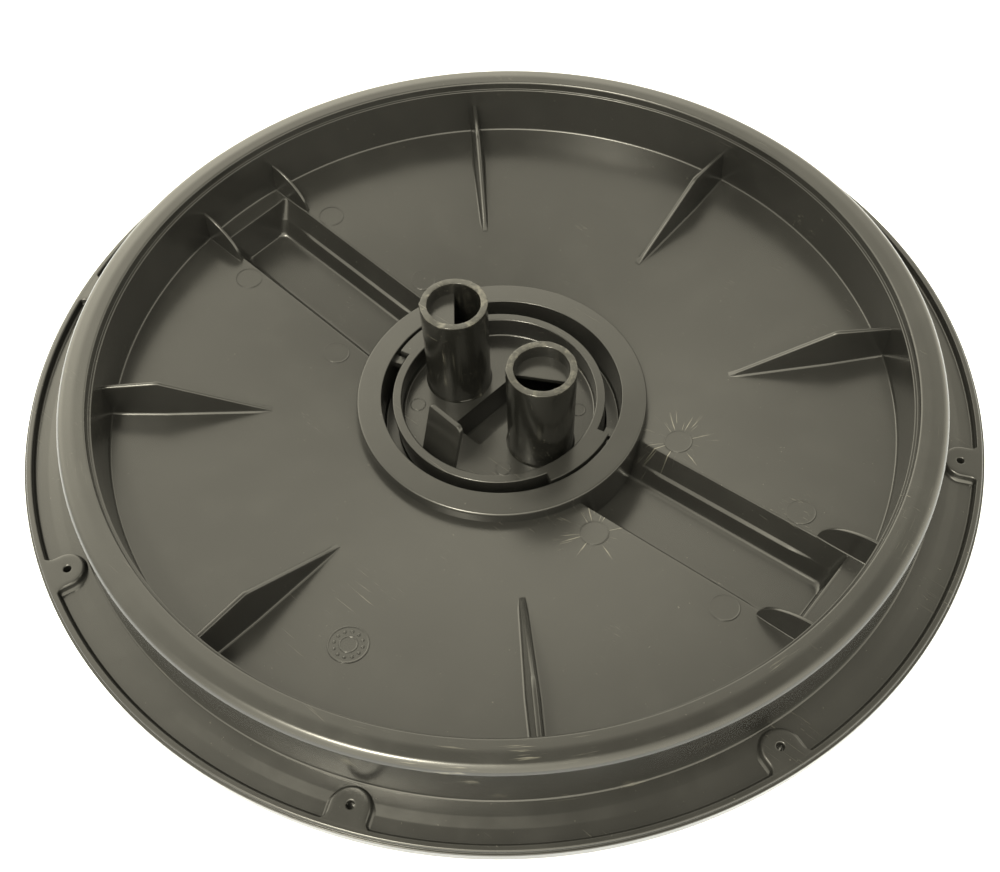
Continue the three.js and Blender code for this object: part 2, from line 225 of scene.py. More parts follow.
def rounded(corners, closed=True, steps=ARC_STEPS):
    """Outline with each (u, v, radius) corner replaced by an arc of that radius."""
    outline = []
    count = len(corners)
    for i, (u, v, radius) in enumerate(corners):
        here = Vector((u, v))
        at_end = not closed and i in (0, count - 1)
        if radius <= 0 or at_end:
            outline.append(here)
            continue
        before = Vector(corners[i - 1][:2]) - here
        after = Vector(corners[(i + 1) % count][:2]) - here
        angle = before.angle(after)
        reach = radius / math.tan(angle / 2)
        start = here + before.normalized() * reach
        finish = here + after.normalized() * reach
        middle = (before.normalized() + after.normalized()).normalized()
        centre = here + middle * (radius / math.sin(angle / 2))
        first = start - centre
        turn = first.angle_signed(finish - centre)
        for k in range(steps + 1):
            arm = first.copy()
            arm.rotate(Matrix.Rotation(-turn * k / steps, 2))
            outline.append(centre + arm)
    return outline


class Build:
    """Collects vertices in millimetres and faces, and makes one mesh object of them."""

    def __init__(self):
        self.vertices = []
        self.faces = []

    def row(self, points):
        first = len(self.vertices)
        self.vertices.extend(points)
        return list(range(first, len(self.vertices)))

    def bridge(self, rows, loop_rows=False, loop_around=False):
        """Quads between neighbouring rows of equal length."""
        pairs = list(zip(rows, rows[1:]))
        if loop_around:
            pairs.append((rows[-1], rows[0]))
        for low, high in pairs:
            count = len(low)
            last = count if loop_rows else count - 1
            for i in range(last):
                j = (i + 1) % count
                self.faces.append((low[i], low[j], high[j], high[i]))

    def cap(self, row, flip=False):
        self.faces.append(tuple(reversed(row)) if flip else tuple(row))

    def loft(self, rows):
        """Closed solid through closed rows, with a cap at each end."""
        self.bridge(rows, loop_rows=True)
        self.cap(rows[0], flip=True)
        self.cap(rows[-1])

    def rod(self, radius, bottom, top, steps, centre=(0.0, 0.0)):
        """Closed upright rod about a centre."""
        outline = circle(centre, radius, steps)
        self.loft([self.row([(x, y, height) for x, y in outline]) for height in (bottom, top)])

    def turn(self, outline, steps, roughen=None, closed=True):
        """Outline of (radius, height) points turned about Z; roughen may move each point."""
        rows = []
        for k in range(steps):
            angle = 2 * math.pi * k / steps
            cos, sin = math.cos(angle), math.sin(angle)
            points = [roughen(angle, *p) for p in outline] if roughen else outline
            rows.append(self.row([(p[0] * cos, p[0] * sin, p[1]) for p in points]))
        self.bridge(rows, loop_rows=closed, loop_around=True)

    def finish(self, name, angle=0.0, origin=(0.0, 0.0), crease=35.0):
        """One object, in metres, in the frame: turned by angle degrees about Z, then moved to origin."""
        turn = Matrix.Rotation(math.radians(angle), 3, "Z")
        shift = Vector((origin[0], origin[1], DATUM))
        mesh = bpy.data.meshes.new(name)
        mesh.from_pydata([((turn @ Vector(v)) + shift) * MM for v in self.vertices], [], self.faces)
        mesh.validate()
        mesh.update()
        piece = bpy.data.objects.new(name, mesh)
        bpy.context.scene.collection.objects.link(piece)
        clean_normals(piece)
        shade(piece, crease)
        return piece


def clean_normals(piece):
    work = bmesh.new()
    work.from_mesh(piece.data)
    bmesh.ops.remove_doubles(work, verts=work.verts, dist=1e-7)
    bmesh.ops.recalc_face_normals(work, faces=work.faces)
    work.to_mesh(piece.data)
    work.free()


def shade(piece, crease=35.0):
    piece.data.shade_smooth()
    piece.data.set_sharp_from_angle(angle=math.radians(crease))


def bake(piece, crease=35.0):
    """Makes the piece's modifiers part of its mesh."""
    evaluated = piece.evaluated_get(bpy.context.evaluated_depsgraph_get())
    mesh = bpy.data.meshes.new_from_object(evaluated)
    piece.modifiers.clear()
    old = piece.data
    piece.data = mesh
    bpy.data.meshes.remove(old)
    shade(piece, crease)


def even_shading(piece):
    """Keeps large flat faces flat beside their rounded edges."""
    modifier = piece.modifiers.new("Even shading", "WEIGHTED_NORMAL")
    modifier.keep_sharp = True


def place(piece, body, material, nodes):
    piece.data.materials.clear()
    piece.data.materials.append(material)
    even_shading(piece)
    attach(piece, body)
    if nodes:
        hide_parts(*nodes)
    return piece


# ---- Materials -----------------------------------------------------------------------


class Nodes:
    """Small wrapper that adds and links the nodes of a material or a world by keyword."""

    def __init__(self, owner, coordinates):
        owner.use_nodes = True
        self.tree = owner.node_tree
        self.coordinates = self.add("ShaderNodeTexCoord").outputs[coordinates]

    def add(self, kind, inputs=None, **settings):
        node = self.tree.nodes.new(kind)
        for key, value in settings.items():
            setattr(node, key, value)
        for key, value in (inputs or {}).items():
            self.feed(node.inputs[key], value)
        return node

    def feed(self, socket, value):
        if isinstance(value, bpy.types.NodeSocket):
            self.tree.links.new(value, socket)
        else:
            socket.default_value = value

    def math(self, operation, *values):
        return self.add("ShaderNodeMath", dict(enumerate(values)), operation=operation).outputs[0]

    def vector(self, operation, first, second=(0.0, 0.0, 0.0), output="Vector"):
        return self.add("ShaderNodeVectorMath", {0: first, 1: second}, operation=operation).outputs[output]

    def split(self, vector):
        return self.add("ShaderNodeSeparateXYZ", {"Vector": vector}).outputs

    def about(self, centre):
        """Distance from an upright line through centre, and the angle round it."""
        flat = self.vector("MULTIPLY", self.vector("SUBTRACT", self.coordinates, centre), (1.0, 1.0, 0.0))
        x, y, _ = self.split(flat)
        return self.vector("LENGTH", flat, output="Value"), self.math("ARCTAN2", y, x)

    def noise(self, scale, detail=2.0, rough=0.5, stretch=None, turn=0.0, place_at=None):
        place_at = place_at or self.coordinates
        if stretch:
            place_at = self.add(
                "ShaderNodeMapping", {"Vector": place_at, "Scale": stretch, "Rotation": (0, 0, turn)}
            ).outputs[0]
        node = self.add(
            "ShaderNodeTexNoise",
            {"Vector": place_at, "Scale": scale, "Detail": detail, "Roughness": rough},
        )
        return node.outputs["Fac"]

    def ramp(self, value, low, high, to_low=0.0, to_high=1.0):
        node = self.add(
            "ShaderNodeMapRange",
            {"Value": value, "From Min": low, "From Max": high, "To Min": to_low, "To Max": to_high},
            interpolation_type="SMOOTHSTEP",
        )
        return node.outputs["Result"]

    def mix(self, share, first, second):
        node = self.add("ShaderNodeMix", data_type="RGBA")
        self.feed(node.inputs["Factor"], share)
        self.feed(node.inputs["A"], first)
        self.feed(node.inputs["B"], second)
        return node.outputs["Result"]


def tint(colour, gain):
    return (colour[0] * gain, colour[1] * gain, colour[2] * gain, 1.0)


def scratch_lines(nodes, scale, turn, amount):
    """Thin broken lines in one direction: a noise drawn out along it."""
    lines = nodes.noise(1.0, 3.0, 0.6, stretch=(scale * 0.02, scale, scale), turn=turn)
    patches = nodes.noise(26.0, 2.0)
    thin = nodes.ramp(lines, 0.66, 0.72)
    return nodes.math("MULTIPLY", thin, nodes.ramp(patches, 0.62 - amount, 0.82 - amount))


def drawn_lines(nodes, centre, across, along):
    """Noise in rings and rays about a centre: cells per metre outwards, and per radian round it."""
    distance, angle = nodes.about(centre)
    outwards = nodes.math("MULTIPLY", distance, across)
    around = nodes.math("MULTIPLY", angle, along)
    spot = nodes.add("ShaderNodeCombineXYZ", {"X": outwards, "Y": around}).outputs[0]
    return nodes.noise(1.0, 3.0, 0.6, place_at=spot), distance


def star_scuffs(nodes):
    """Pale rays round the two ejector marks beside the right trough arm."""
    total = 0.0
    for side in (1, -1):
        x, y = polar(EJECTOR_CIRCLE * MM, side * EJECTOR_ANGLE)
        rays, distance = drawn_lines(nodes, (x, y, 0.0), 40.0, 9.0)
        reach = nodes.ramp(distance, 0.019, 0.007)
        outside = nodes.ramp(distance, 0.0055, 0.0065)
        rays = nodes.math("MULTIPLY", nodes.ramp(rays, 0.6, 0.68), nodes.math("MULTIPLY", reach, outside))
        total = nodes.math("ADD", total, rays)
    return nodes.math("MULTIPLY", total, 0.35)


def rim_scuffs(nodes):
    """Rub marks drawn along the ring, strongest on its near and right sides."""
    lines, distance = drawn_lines(nodes, (0.0, 0.0, 0.0), 1500.0, 9.0)
    patches = nodes.ramp(nodes.noise(38.0, 3.0), 0.48, 0.66)
    crown = nodes.math("MULTIPLY", nodes.ramp(distance, 0.168, 0.173), nodes.ramp(distance, 0.1835, 0.1815))
    rubbed = nodes.math("MULTIPLY", nodes.ramp(lines, 0.58, 0.7), nodes.math("MULTIPLY", patches, crown))
    near = nodes.vector("DISTANCE", nodes.coordinates, (*polar(0.18, -42), DATUM * MM), output="Value")
    return nodes.math("MULTIPLY", rubbed, nodes.ramp(near, 0.17, 0.02, 0.04, 0.28))


def cut_end_and_glints(nodes):
    """Whitened plastic at the tubes' cut ends, and painted glints: pale streaks running down their walls
    that stand in for streak reflections.
    """
    height = nodes.split(nodes.coordinates)[2]
    end = nodes.ramp(height, (TUBE_TOP + DATUM - 1.3) * MM, (TUBE_TOP + DATUM - 0.3) * MM)
    torn = nodes.math("MULTIPLY", end, nodes.ramp(nodes.noise(170.0, 6.0, 0.7), 0.48, 0.72, 0.03, 0.25))
    # Painted glints: pale streaks drawn out up and down the walls, standing in for the walls' vertical
    # streak reflections.
    runs = nodes.noise(1.0, 4.0, 0.6, stretch=(420.0, 420.0, 22.0))
    painted_glints = nodes.math("MULTIPLY", nodes.ramp(runs, 0.5, 0.75), nodes.ramp(nodes.noise(80.0, 3.0), 0.45, 0.7))
    return nodes.math("MAXIMUM", torn, nodes.math("MULTIPLY", painted_glints, 0.12))


def moulded_plastic(name, colour, roughness, wear, marks):
    """Black-olive moulded plastic: faint flow marks, fine grain, thin light scratch lines and its own marks;
    for the tubes these marks include painted glints.
    """
    plastic = bpy.data.materials.new(name)
    nodes = Nodes(plastic, "Object")
    shader = nodes.tree.nodes["Principled BSDF"]
    clouds = nodes.noise(14.0, 4.0, 0.55)
    flow = nodes.noise(60.0, 5.0, 0.6)
    body = nodes.mix(nodes.ramp(clouds, 0.3, 0.7), tint(colour, 0.85), tint(colour, 1.15))
    body = nodes.mix(nodes.math("MULTIPLY", nodes.ramp(flow, 0.45, 0.8), 0.4), body, tint(colour, 1.6))
    wear_and_glints = 0.0
    for scale, turn in ((900.0, 0.5), (1300.0, 1.7), (1300.0, 2.6)):
        wear_and_glints = nodes.math("MAXIMUM", wear_and_glints, scratch_lines(nodes, scale, turn, wear * 0.2))
    wear_and_glints = nodes.math("MULTIPLY", wear_and_glints, 0.2)
    if marks:
        wear_and_glints = nodes.math("MAXIMUM", wear_and_glints, marks(nodes))
    # Scratches and marks are mixed in pale; on the tubes this includes the painted glints.
    body = nodes.mix(wear_and_glints, body, WEAR_AND_GLINT_COLOUR)
    dust = nodes.ramp(nodes.noise(700.0, 2.0), 0.74, 0.8)
    body = nodes.mix(nodes.math("MULTIPLY", dust, 0.15), body, WEAR_AND_GLINT_COLOUR)
    nodes.feed(shader.inputs["Base Color"], body)
    rough = nodes.ramp(flow, 0.3, 0.7, roughness - 0.02, roughness + 0.03)
    rough = nodes.math("ADD", rough, nodes.math("MULTIPLY", wear_and_glints, 0.12))
    nodes.feed(shader.inputs["Roughness"], rough)
    grain = nodes.noise(2600.0, 2.0)
    height = nodes.math("SUBTRACT", nodes.math("MULTIPLY", grain, 0.4), wear_and_glints)
    bump = nodes.add("ShaderNodeBump", {"Height": height, "Strength": 0.2, "Distance": 0.00003})
    nodes.feed(shader.inputs["Normal"], bump.outputs[0])
    return plastic


def material(key):
    """The deck's plastics, made once each from the finish settings."""
    finish = bpy.context.scene.deck_finish
    recipes = {
        "deck": ("Deck plastic", finish.deck_colour, finish.deck_roughness, 0.1, star_scuffs),
        "rim": ("Rim plastic", finish.deck_colour, finish.deck_roughness, 0.4, rim_scuffs),
        "cap": ("Cap plastic", finish.cap_colour, finish.cap_roughness, 0.5, None),
        # The tubes' marks include painted glints down their walls, as well as the whitened cut ends.
        "tube": ("Tube plastic", finish.tube_colour, finish.tube_roughness, 0.9, cut_end_and_glints),
    }
    name, *recipe = recipes[key]
    found = bpy.data.materials.get(name)
    return found or moulded_plastic(name, *recipe)


# ---- Settings ----------------------------------------------------------------------------


def length(name, description, default):
    return FloatProperty(name=name, description=description, default=default, min=0.0, unit="LENGTH")


def colour(name, description, default):
    return FloatVectorProperty(name=name, description=description, default=default, size=3,
                               min=0.0, max=1.0, subtype="COLOR")


def share(name, description, default, most=1.0):
    return FloatProperty(name=name, description=description, default=default,
                         min=0.0, max=most, subtype="FACTOR")


class DeckSizes(bpy.types.PropertyGroup):
    edge_radius: length("Edge radius", "Rounding of the moulding's free edges", 0.6 * MM)
    root_radius: length("Root radius", "Fillet where a rib or a wall meets the floor", 1.1 * MM)
    gusset_top: length("Gusset top", "Thickness of each gusset along its upper edge", 2.3 * MM)
    fin_top: length("Fin top", "Thickness of each trough fin along its upper edge", 1.5 * MM)
    rib_draft: share("Rib draft", "Outward run of a rib's sides for each unit down", 0.07, 0.5)


class DeckFinish(bpy.types.PropertyGroup):
    deck_colour: colour("Deck colour", "Colour of the deck moulding", (0.0105, 0.0105, 0.01))
    cap_colour: colour("Cap colour", "Colour of the turning cap", (0.01, 0.01, 0.0095))
    tube_colour: colour("Tube colour", "Colour of the stub tubes", (0.006, 0.006, 0.0055))
    deck_roughness: share("Deck roughness", "Roughness of the moulded surfaces", 0.23)
    cap_roughness: share("Cap roughness", "Roughness of the turning cap", 0.2)
    tube_roughness: share("Tube roughness", "Roughness of the stub tubes", 0.18)


class DeckStage(bpy.types.PropertyGroup):
    lens: FloatProperty(name="Lens", description="Focal length of the camera",
                        default=38.36, min=1.0, unit="CAMERA")
    overhead_power: FloatProperty(name="Overhead light",
                                  description="Power of the light that picks out the edges",
                                  default=42.0, min=0.0, unit="POWER")
    light_strength: FloatProperty(name="Soft light", description="Strength of the soft light all round",
                                  default=1.0, min=0.0)
    light_colour: colour("Light colour", "Colour of the studio light", (1.0, 0.945, 0.755))
    floor_colour: colour("Floor colour", "Colour of the plain floor", (0.8, 0.84, 0.95))
    floor_segments: IntProperty(name="Floor segments", description="Sides of the round floor",
                                default=96, min=3)


def sizes():
    return bpy.context.scene.deck_sizes


# ---- Operators: one for each piece or group of like pieces --------------------------------


class MakeRingWall(bpy.types.Operator):
    """Make the hollow ring wall with its crown, inside ledge and outer wall"""

    bl_idname = "deck.ring_wall"
    bl_label = "Ring wall"

    def execute(self, context):
        edge = sizes().edge_radius / MM
        root = sizes().root_radius / MM
        foot = BAND_TOP_INNER - WALL
        ledge = WALL_RADIUS + LEDGE_WIDTH
        crown = RIM_OUTER_RADIUS
        outline = rounded([
            (outer_wall_radius(foot), foot, 0),
            (outer_wall_radius(BAND_TOP_INNER) + 0.5, BAND_TOP_INNER - 0.4, 0),
            (outer_wall_radius(BAND_TOP_INNER) + 0.5, BAND_TOP_INNER + 0.5, 0.25),
            (outer_wall_radius(BAND_TOP_INNER + 0.8), BAND_TOP_INNER + 0.8, 0),
            (crown + 0.25, RIM_TOP - 0.3, 3.6),
            (crown - 6.5, RIM_TOP, 12.0),
            (ledge, RIM_TOP - 0.6, 1.0),
            (ledge, LEDGE_HEIGHT, 0.3),
            (WALL_RADIUS, LEDGE_HEIGHT, 0.45),
            (WALL_RADIUS, -0.05, root),
            (WALL_RADIUS - 2.2, -0.34, 0),
            (WALL_RADIUS - 1.0, -WALL, 0),
            (WALL_RADIUS + WALL, -WALL, edge),
            (WALL_RADIUS + WALL, RIM_TOP - WALL, 1.5),
            (crown - WALL, RIM_TOP - WALL, 1.5),
            (outer_wall_radius(foot) - WALL, foot, 0),
        ])
        build = Build()
        build.turn(outline, RING_STEPS)
        place(build.finish("ring_wall"), "deck", material("rim"), ["rim_ring"])
        return {"FINISHED"}


class MakeFlange(bpy.types.Operator):
    """Make the outer flange with its band, raised lip and blind pilot holes"""

    bl_idname = "deck.flange"
    bl_label = "Flange"

    def execute(self, context):
        edge = sizes().edge_radius / MM
        inner = outer_wall_radius(BAND_TOP_INNER - WALL) - 0.2
        lip = FLANGE_RADIUS - LIP_WIDTH
        outline = rounded([
            (inner, BAND_TOP_INNER - WALL, 0),
            (lip, FLANGE_BOTTOM, 2.0),
            (FLANGE_RADIUS, FLANGE_BOTTOM, edge),
            (FLANGE_RADIUS, LIP_TOP - 1.1, 0.35),
            (FLANGE_RADIUS - 0.9, LIP_TOP - 1.1, 0.2),
            (FLANGE_RADIUS - 1.0, LIP_TOP, 0.7),
            (lip, LIP_TOP, 0.8),
            (lip - 0.3, BAND_TOP_OUTER, 0.8),
            (lip - 5.5, BAND_TOP_OUTER + 0.05, 6.0),
            (lip - 9.5, BAND_TOP_OUTER + 0.5, 6.0),
            (inner, BAND_TOP_INNER, 0),
        ])
        build = Build()
        build.turn(outline, RING_STEPS)
        piece = build.finish("skirt_band")
        # The pilot holes go on through the pads into the flange, and end blind.
        holes = Build()
        for index in range(LUG_COUNT):
            centre = polar(LUG_HOLE_CIRCLE, LUG_FIRST_ANGLE + index * 360 / LUG_COUNT)
            holes.rod(LUG_HOLE_RADIUS, FLANGE_BOTTOM + 1.0, BAND_TOP_OUTER + WALL, HOLE_STEPS, centre)
        cut(piece, holes.finish("pilot_hole_cutter"))
        place(piece, "deck", material("rim"), ["skirt_flange"])
        return {"FINISHED"}


def lug_outline(half_width, lip_edge, fillet):
    """A lug's outline about its pilot hole: from the lip, round the tip, and back to the lip."""
    lip_end = half_width + fillet
    half = arc((lip_edge - fillet, lip_end), fillet, 0, -90, 6)
    half += arc((LUG_ROUND_CENTRE, 0.0), half_width, 90, 180, 18)
    mirrored = [(x, -y) for x, y in reversed(half[:-1])]
    along_lip = [(lip_edge, lip_end * (k / 6 - 1)) for k in range(1, 12)]
    return half + mirrored + along_lip


class MakeScrewLugs(bpy.types.Operator):
    """Make the eight tongue-shaped pads with pilot holes around the flange"""

    bl_idname = "deck.screw_lugs"
    bl_label = "Screw lugs"

    def execute(self, context):
        half_width = 7.2
        fillet = 3.2
        core_inset = 2.2
        lip_edge = FLANGE_RADIUS - LIP_WIDTH + 0.7 - LUG_HOLE_CIRCLE
        top = LIP_TOP - 0.02
        # (growth of the hole or of the outline, height)
        hole_levels = [(0.0, FLANGE_BOTTOM + 0.4), (0.0, top - 0.4), (0.15, top - 0.1), (0.5, top)]
        edge_levels = [(-1.0, top), (-0.45, top - 0.1), (-0.1, top - 0.4), (0.0, top - 0.9),
                       (0.25, BAND_TOP_OUTER + 1.2), (0.6, BAND_TOP_OUTER + 0.6),
                       (1.3, BAND_TOP_OUTER + 0.2), (1.6, FLANGE_BOTTOM + 0.4)]
        # The pad's middle, without its fillets, so that every point of it faces the hole.
        core_half = half_width - core_inset
        core = [(x, max(-core_half, min(core_half, y)))
                for x, y in lug_outline(core_half, lip_edge, fillet + core_inset)]
        for index in range(LUG_COUNT):
            build = Build()
            rows = []
            for grow, height in hole_levels:
                reach = LUG_HOLE_RADIUS + grow
                points = []
                for x, y in core:
                    size = math.hypot(x, y)
                    points.append((LUG_HOLE_CIRCLE + x / size * reach, y / size * reach, height))
                rows.append(build.row(points))
            rows.append(build.row([(LUG_HOLE_CIRCLE + x, y, top) for x, y in core]))
            for grow, height in edge_levels:
                outline = lug_outline(half_width + grow, lip_edge, max(fillet - grow, 0.5))
                rows.append(build.row([(LUG_HOLE_CIRCLE + x, y, height) for x, y in outline]))
            build.bridge(rows, loop_rows=True, loop_around=True)
            piece = build.finish(f"lug_{index + 1}", LUG_FIRST_ANGLE + index * 360 / LUG_COUNT, crease=50)
            place(piece, "deck", material("rim"), [f"screw_lug_{index + 1}"])
        return {"FINISHED"}


class MakeFloor(bpy.types.Operator):
    """Make the dished floor in two halves either side of the trough, joined beyond its ends"""

    bl_idname = "deck.floor"
    bl_label = "Dished floor"

    def execute(self, context):
        land = TROUGH_TOP_HALF + TROUGH_MARGIN
        end = TROUGH_END + TROUGH_MARGIN
        inner = COLLAR_RADIUS - COLLAR_OVERLAP
        outer = WALL_RADIUS + 1.0
        ring_count, around_count, across_count, end_count = 40, 160, 40, 6
        build = Build()
        for side in (1, -1):
            rows = []
            for k in range(ring_count + 1):
                radius = inner + (outer - inner) * k / ring_count
                first = math.degrees(math.asin(land / radius))
                outline = arc((0, 0), radius, side * first, side * (180 - first), around_count)
                rows.append(build.row([(x, y, floor_height(radius)) for x, y in outline]))
            build.bridge(rows)
        for side in (1, -1):
            rows = []
            for j in range(across_count + 1):
                y = -land + 2 * land * j / across_count
                last = math.sqrt(outer ** 2 - y ** 2)
                xs = [end + (last - end) * k / end_count for k in range(end_count + 1)]
                rows.append(build.row([(side * x, y, floor_height(math.hypot(x, y))) for x in xs]))
            build.bridge(rows)
        piece = build.finish("dished_floor")
        thicken(piece)
        place(piece, "deck", material("deck"), ["floor_disc"])
        return {"FINISHED"}


def dished_ground(x, y):
    return floor_height(math.hypot(x, y))


def shallow_disc(build, centre, levels, ground=dished_ground, steps=DISC_STEPS):
    """Shallow turned shape that follows the ground; levels are (radius, height above it)."""
    rows = []
    for radius, height in levels:
        outline = circle(centre, radius, steps)
        rows.append(build.row([(x, y, ground(x, y) + height) for x, y in outline]))
    build.loft(rows)


class MakeFloorMarks(bpy.types.Operator):
    """Make the ejector marks and the plain mould dial on the floor"""

    bl_idname = "deck.floor_marks"
    bl_label = "Floor marks"

    def execute(self, context):
        marks = Build()
        for angle in (0, 180):
            for side in (1, -1):
                outer = polar(OUTER_EJECTOR_CIRCLE, angle + side * OUTER_EJECTOR_ANGLE)
                inner = polar(EJECTOR_CIRCLE, angle + side * EJECTOR_ANGLE)
                shallow_disc(marks, outer, EJECTOR_LEVELS)
                shallow_disc(marks, inner, EJECTOR_LEVELS)
        place(marks.finish("ejector_marks", crease=70), "deck", material("deck"), [])
        dial = Build()
        centre = Vector(polar(DIAL_CIRCLE, DIAL_ANGLE))
        shallow_disc(dial, centre, DIAL_RING)
        shallow_disc(dial, centre, DIAL_HUB)
        for k in range(TICK_COUNT):
            tick = centre + Vector(polar(TICK_CIRCLE, 360 * k / TICK_COUNT))
            shallow_disc(dial, tick, DIAL_TICK, steps=12)
        place(dial.finish("mould_dial", crease=70), "deck", material("deck"), [])
        return {"FINISHED"}


def thicken(piece, crease=35.0):
    """Gives a sheet the moulding's wall thickness on its outer side."""
    facing_up = sum(face.normal.z * face.area for face in piece.data.polygons) > 0
    if not facing_up:
        piece.data.flip_normals()
    shell = piece.modifiers.new("Wall thickness", "SOLIDIFY")
    shell.thickness = WALL * MM
    shell.offset = -1.0
    bake(piece, crease)


class MakeTroughs(bpy.types.Operator):
    """Make the two arms of the spray-bar trough, with their folded side walls"""

    bl_idname = "deck.troughs"
    bl_label = "Spray-bar trough"

    def execute(self, context):
        # (inset from the top outline, depth, corner radius in plan, share of the ledge's width)
        levels = [
            (-TROUGH_MARGIN, 0.0, 1.0, 0), (-0.5, 0.0, 1.2, 0), (-0.15, 0.06, 1.5, 0), (0.06, 0.25, 1.8, 0),
            (0.22, 0.6, 2.0, 0), (2.0, 4.4, 2.8, 0), (3.9, 8.3, 3.6, 0), (4.15, 8.8, 3.7, 0),
            (4.3, 9.0, 3.7, 1), (4.6, 9.5, 3.7, 1), (6.1, 13.2, 3.9, 0.4), (7.0, 15.0, 4.0, 0.1),
            (7.5, 15.9, 4.0, 0), (8.2, 16.5, 4.0, 0), (9.2, 16.8, 3.8, 0), (10.4, 16.8, 3.2, 0),
        ]
        for side, label in ((1, "right"), (-1, "left")):
            build = Build()
            rows = []
            for inset, depth, corner, ledge in levels:
                rows.append(build.row(trough_loop(inset, depth, corner, ledge)))
            build.bridge(rows)
            last = rows[-1]
            half = len(last) // 2
            for i in range(half - 1):
                build.faces.append((last[i], last[i + 1], last[-2 - i], last[-1 - i]))
            piece = build.finish(f"trough_arm_{label}", 0 if side > 0 else 180, crease=60)
            thicken(piece, 60.0)
            place(piece, "deck", material("deck"), [f"trough_{label}"])
        return {"FINISHED"}


def trough_loop(inset, depth, corner, ledge):
    """One level of the trough: down one side, round the end and back, clear of the collar."""
    half = TROUGH_TOP_HALF - inset
    end = TROUGH_END - max(inset, 0) * 0.28 - min(inset, 0)
    start_radius = COLLAR_RADIUS - COLLAR_OVERLAP
    side_steps = 48
    ledge_width = 0.9
    start = math.sqrt(start_radius ** 2 - half ** 2)
    straight_end = end - corner
    points = []
    for k in range(side_steps + 1):
        share = k / side_steps
        x = start + (straight_end - start) * share
        # The ledge on the side wall fades out before both ends of the arm.
        fade = min(1.0, max(0.0, (share - 0.04) / 0.12)) * min(1.0, max(0.0, (0.93 - share) / 0.1))
        points.append((x, half - ledge_width * ledge * fade))
    points += arc((straight_end, half - corner), corner, 90, 0, 8)[1:]
    mirrored = [(x, -y) for x, y in reversed(points)]
    loop = []
    for x, y in points + mirrored:
        # The top edge follows the dished floor, and the levels below it blend to a straight slope.
        blend = min(1.0, depth / 3.0)
        loop.append((x, y, dished_ground(x, y) * (1 - blend) + floor_height(x) * blend - depth))
    return loop


def rib(build, stations, top_width, draft, root):
    """Ribs are lofted along X: each station is (x, foot height, height of the rib above its foot)."""
    rows = []
    for x, foot, height in stations:
        half_top = top_width / 2
        half_foot = half_top + height * draft
        edge = min(half_top * 0.8, height * 0.45)
        flare = min(root, height * 0.5)
        side = [(half_foot + flare * 1.3, -0.35), (half_foot + flare, -0.02)]
        side += arc((half_foot + flare, flare), flare, 270, 180, 4)[1:]
        side += arc((half_top - edge, height - edge), edge, 0, 90, 4)
        outline = side + [(-y, z) for y, z in reversed(side)]
        rows.append(build.row([(x, y, foot + z) for y, z in outline]))
    build.loft(rows)


class MakeGussets(bpy.types.Operator):
    """Make the six long gussets that stiffen the ring wall"""

    bl_idname = "deck.gussets"
    bl_label = "Gussets"

    def execute(self, context):
        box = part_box("gusset_2")
        tip, wall = box[0].y / MM, WALL_RADIUS + 0.6
        top = top_of("gusset_2")
        knee = GUSSET_KNEE_RADIUS
        slope_steps, level_steps = 24, 6
        start = floor_height(tip) + TIP_HEIGHT
        stations = []
        for k in range(slope_steps + 1):
            x = tip + (knee - tip) * k / slope_steps
            foot = floor_height(x)
            crest = start + (top - start) * k / slope_steps
            stations.append((x, foot, crest - foot))
        for k in range(1, level_steps + 1):
            x = knee + (wall - knee) * k / level_steps
            foot = floor_height(min(x, WALL_RADIUS))
            stations.append((x, foot, top - foot))
        for index, angle in enumerate(GUSSET_ANGLES):
            build = Build()
            rib(build, stations, sizes().gusset_top / MM, sizes().rib_draft, sizes().root_radius / MM)
            piece = build.finish(f"rib_{index + 1}", angle)
            place(piece, "deck", material("deck"), [f"gusset_{index + 1}"])
        return {"FINISHED"}


class MakeTroughFins(bpy.types.Operator):
    """Make the four small fins on the trough's edges at the ring wall"""

    bl_idname = "deck.trough_fins"
    bl_label = "Trough fins"

    def execute(self, context):
        for index in range(4):
            low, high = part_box(f"trough_fin_{index + 1}")
            offset = abs(low.y + high.y) / 2 / MM
            tip = min(abs(low.x), abs(high.x)) / MM
            wall = math.sqrt(WALL_RADIUS ** 2 - offset ** 2) + 0.6
            stations = []
            for run, rise in arc((0, 0), 1, 0, 90, 18):
                x = wall - (wall - tip) * run
                foot = floor_height(min(math.hypot(x, offset), WALL_RADIUS))
                stations.append((x, foot, TIP_HEIGHT + FIN_RISE * rise))
            build = Build()
            draft = sizes().rib_draft * 0.6
            root = sizes().root_radius / MM * 0.5
            rib(build, stations, sizes().fin_top / MM, draft, root)
            side = 1 if (low.y + high.y) * (low.x + high.x) > 0 else -1
            build.vertices = [(x, y + side * offset, z) for x, y, z in build.vertices]
            piece = build.finish(f"fin_{index + 1}", 0 if low.x + high.x > 0 else 180)
            place(piece, "deck", material("deck"), [f"trough_fin_{index + 1}"])
        return {"FINISHED"}


def ring_sector(build, inner, outer, first, last, bottom, top, edge=0.3, steps=24):
    """Block between two radii and two angles in degrees, with a rounded section."""
    corners = [(outer, bottom, edge), (outer, top, edge), (inner, top, edge), (inner, bottom, edge)]
    outline = rounded(corners, steps=3)
    rows = []
    for k in range(steps + 1):
        angle = math.radians(first + (last - first) * k / steps)
        rows.append(build.row([(p[0] * math.cos(angle), p[0] * math.sin(angle), p[1]) for p in outline]))
    build.loft(rows)


def bayonet(build, *blocks):
    for turn in (0, 180):
        for inner, outer, first, last, foot, top in blocks:
            ring_sector(build, inner, outer, first + turn, last + turn, COLLAR_TOP - foot, COLLAR_TOP - top)


